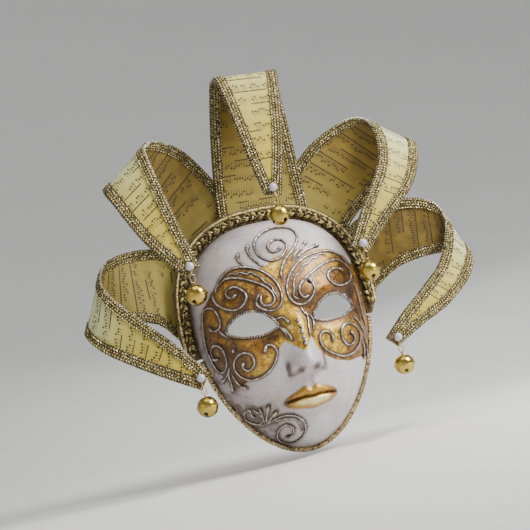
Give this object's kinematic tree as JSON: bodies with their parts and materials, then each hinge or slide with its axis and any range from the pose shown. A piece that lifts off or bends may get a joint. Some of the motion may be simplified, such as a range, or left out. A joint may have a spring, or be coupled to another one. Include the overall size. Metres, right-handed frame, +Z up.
{
  "type": "venetian masquerade mask",
  "caption": "Full-face carnival mask with eye openings, raised scrollwork and a crown of curled paper points, each tipped with a pearl and a hanging jingle bell.",
  "frame": {"origin": "centre of the rim plane at eye level, where the mask sits against the wearer's face", "axes": "+X to the right seen from the front, the front faces -Y, +Z up to the crown"},
  "size_m": [0.3899, 0.0933, 0.3644],
  "materials": {
    "papier_mache": "satin",
    "backing_board": "matte",
    "plaited_gold_braid": "metallic thread",
    "bright_gold_cord": "metallic thread",
    "dark_gold_edging": "metallic thread",
    "jaw_gold_braid": "metallic thread",
    "gold_braid": "metallic thread",
    "raised_slip": "silver-bronze paint",
    "card": "matte",
    "music_paper_outer": "matte",
    "music_paper_lining": "matte",
    "pearl": "pearl lustre",
    "steel": "plain",
    "eyelet_brass": "polished",
    "brass_wire": "polished",
    "bell_brass": "polished"
  },
  "bodies": {
    "root": {"face_shell": "papier_mache", "crown_backing": "backing_board", "crown_braid": "plaited_gold_braid", "crown_cord": "bright_gold_cord", "crown_edging": "dark_gold_edging", "jaw_braid": "jaw_gold_braid", "eye_rims": "raised_slip", "relief_forehead": "raised_slip", "relief_left_eye": "raised_slip", "relief_right_eye": "raised_slip", "relief_nose_beads": "raised_slip", "relief_chin": "raised_slip", "ribbon_eyelets": "eyelet_brass", "pearls": "pearl", "bead_pins": "brass_wire", "top_card": "card", "top_outer_paper": "music_paper_outer", "top_lining_paper": "music_paper_lining", "top_braid_left": "gold_braid", "top_braid_right": "gold_braid", "upper_left_card": "card", "upper_left_outer_paper": "music_paper_outer", "upper_left_lining_paper": "music_paper_lining", "upper_left_braid_left": "gold_braid", "upper_left_braid_right": "gold_braid", "lower_left_card": "card", "lower_left_outer_paper": "music_paper_outer", "lower_left_lining_paper": "music_paper_lining", "lower_left_braid_left": "gold_braid", "lower_left_braid_right": "gold_braid", "upper_right_card": "card", "upper_right_outer_paper": "music_paper_outer", "upper_right_lining_paper": "music_paper_lining", "upper_right_braid_left": "gold_braid", "upper_right_braid_right": "gold_braid", "lower_right_card": "card", "lower_right_outer_paper": "music_paper_outer", "lower_right_lining_paper": "music_paper_lining", "lower_right_braid_left": "gold_braid", "lower_right_braid_right": "gold_braid"},
    "top_link": {"top_link": "brass_wire"},
    "top_bell": {"top_bell_cap": "bell_brass", "top_bell_base": "bell_brass"},
    "top_pellet": {"top_pellet": "steel"},
    "upper_left_link": {"upper_left_link": "brass_wire"},
    "upper_left_bell": {"upper_left_bell_cap": "bell_brass", "upper_left_bell_base": "bell_brass"},
    "upper_left_pellet": {"upper_left_pellet": "steel"},
    "lower_left_link": {"lower_left_link": "brass_wire"},
    "lower_left_bell": {"lower_left_bell_cap": "bell_brass", "lower_left_bell_base": "bell_brass"},
    "lower_left_pellet": {"lower_left_pellet": "steel"},
    "upper_right_link": {"upper_right_link": "brass_wire"},
    "upper_right_bell": {"upper_right_bell_cap": "bell_brass", "upper_right_bell_base": "bell_brass"},
    "upper_right_pellet": {"upper_right_pellet": "steel"},
    "lower_right_link": {"lower_right_link": "brass_wire"},
    "lower_right_bell": {"lower_right_bell_cap": "bell_brass", "lower_right_bell_base": "bell_brass"},
    "lower_right_pellet": {"lower_right_pellet": "steel"}
  },
  "joints": [
    {"name": "top_link_swing", "type": "hinge", "parent": "root", "child": "top_link", "pos_m": [0.00785, -0.05925, 0.11429], "axis": [0, 1, 0], "range_deg": [-45, 45]},
    {"name": "top_bell_swing", "type": "hinge", "parent": "top_link", "child": "top_bell", "pos_m": [0.00785, -0.05925, 0.10774], "axis": [1, 0, 0], "range_deg": [-45, 45]},
    {"name": "top_pellet_roll", "type": "hinge", "parent": "top_bell", "child": "top_pellet", "pos_m": [0.00785, -0.05925, 0.09614], "axis": [0, 1, 0], "range_deg": [-55, 55]},
    {"name": "upper_left_link_swing", "type": "hinge", "parent": "root", "child": "upper_left_link", "pos_m": [-0.0847, -0.05867, 0.05808], "axis": [0, 1, 0], "range_deg": [-45, 45]},
    {"name": "upper_left_bell_swing", "type": "hinge", "parent": "upper_left_link", "child": "upper_left_bell", "pos_m": [-0.0847, -0.05867, 0.05153], "axis": [1, 0, 0], "range_deg": [-45, 45]},
    {"name": "upper_left_pellet_roll", "type": "hinge", "parent": "upper_left_bell", "child": "upper_left_pellet", "pos_m": [-0.0847, -0.05867, 0.03993], "axis": [0, 1, 0], "range_deg": [-55, 55]},
    {"name": "lower_left_link_swing", "type": "hinge", "parent": "root", "child": "lower_left_link", "pos_m": [-0.09696, -0.05145, -0.04263], "axis": [0, 1, 0], "range_deg": [-45, 45]},
    {"name": "lower_left_bell_swing", "type": "hinge", "parent": "lower_left_link", "child": "lower_left_bell", "pos_m": [-0.09696, -0.05145, -0.04918], "axis": [1, 0, 0], "range_deg": [-45, 45]},
    {"name": "lower_left_pellet_roll", "type": "hinge", "parent": "lower_left_bell", "child": "lower_left_pellet", "pos_m": [-0.09696, -0.05145, -0.06078], "axis": [0, 1, 0], "range_deg": [-55, 55]},
    {"name": "upper_right_link_swing", "type": "hinge", "parent": "root", "child": "upper_right_link", "pos_m": [0.0804, -0.05868, 0.04624], "axis": [0, 1, 0], "range_deg": [-45, 45]},
    {"name": "upper_right_bell_swing", "type": "hinge", "parent": "upper_right_link", "child": "upper_right_bell", "pos_m": [0.0804, -0.05868, 0.03969], "axis": [1, 0, 0], "range_deg": [-45, 45]},
    {"name": "upper_right_pellet_roll", "type": "hinge", "parent": "upper_right_bell", "child": "upper_right_pellet", "pos_m": [0.0804, -0.05868, 0.02809], "axis": [0, 1, 0], "range_deg": [-55, 55]},
    {"name": "lower_right_link_swing", "type": "hinge", "parent": "root", "child": "lower_right_link", "pos_m": [0.09538, -0.04942, -0.04695], "axis": [0, 1, 0], "range_deg": [-45, 45]},
    {"name": "lower_right_bell_swing", "type": "hinge", "parent": "lower_right_link", "child": "lower_right_bell", "pos_m": [0.09538, -0.04942, -0.0535], "axis": [1, 0, 0], "range_deg": [-45, 45]},
    {"name": "lower_right_pellet_roll", "type": "hinge", "parent": "lower_right_bell", "child": "lower_right_pellet", "pos_m": [0.09538, -0.04942, -0.0651], "axis": [0, 1, 0], "range_deg": [-55, 55]}
  ]
}
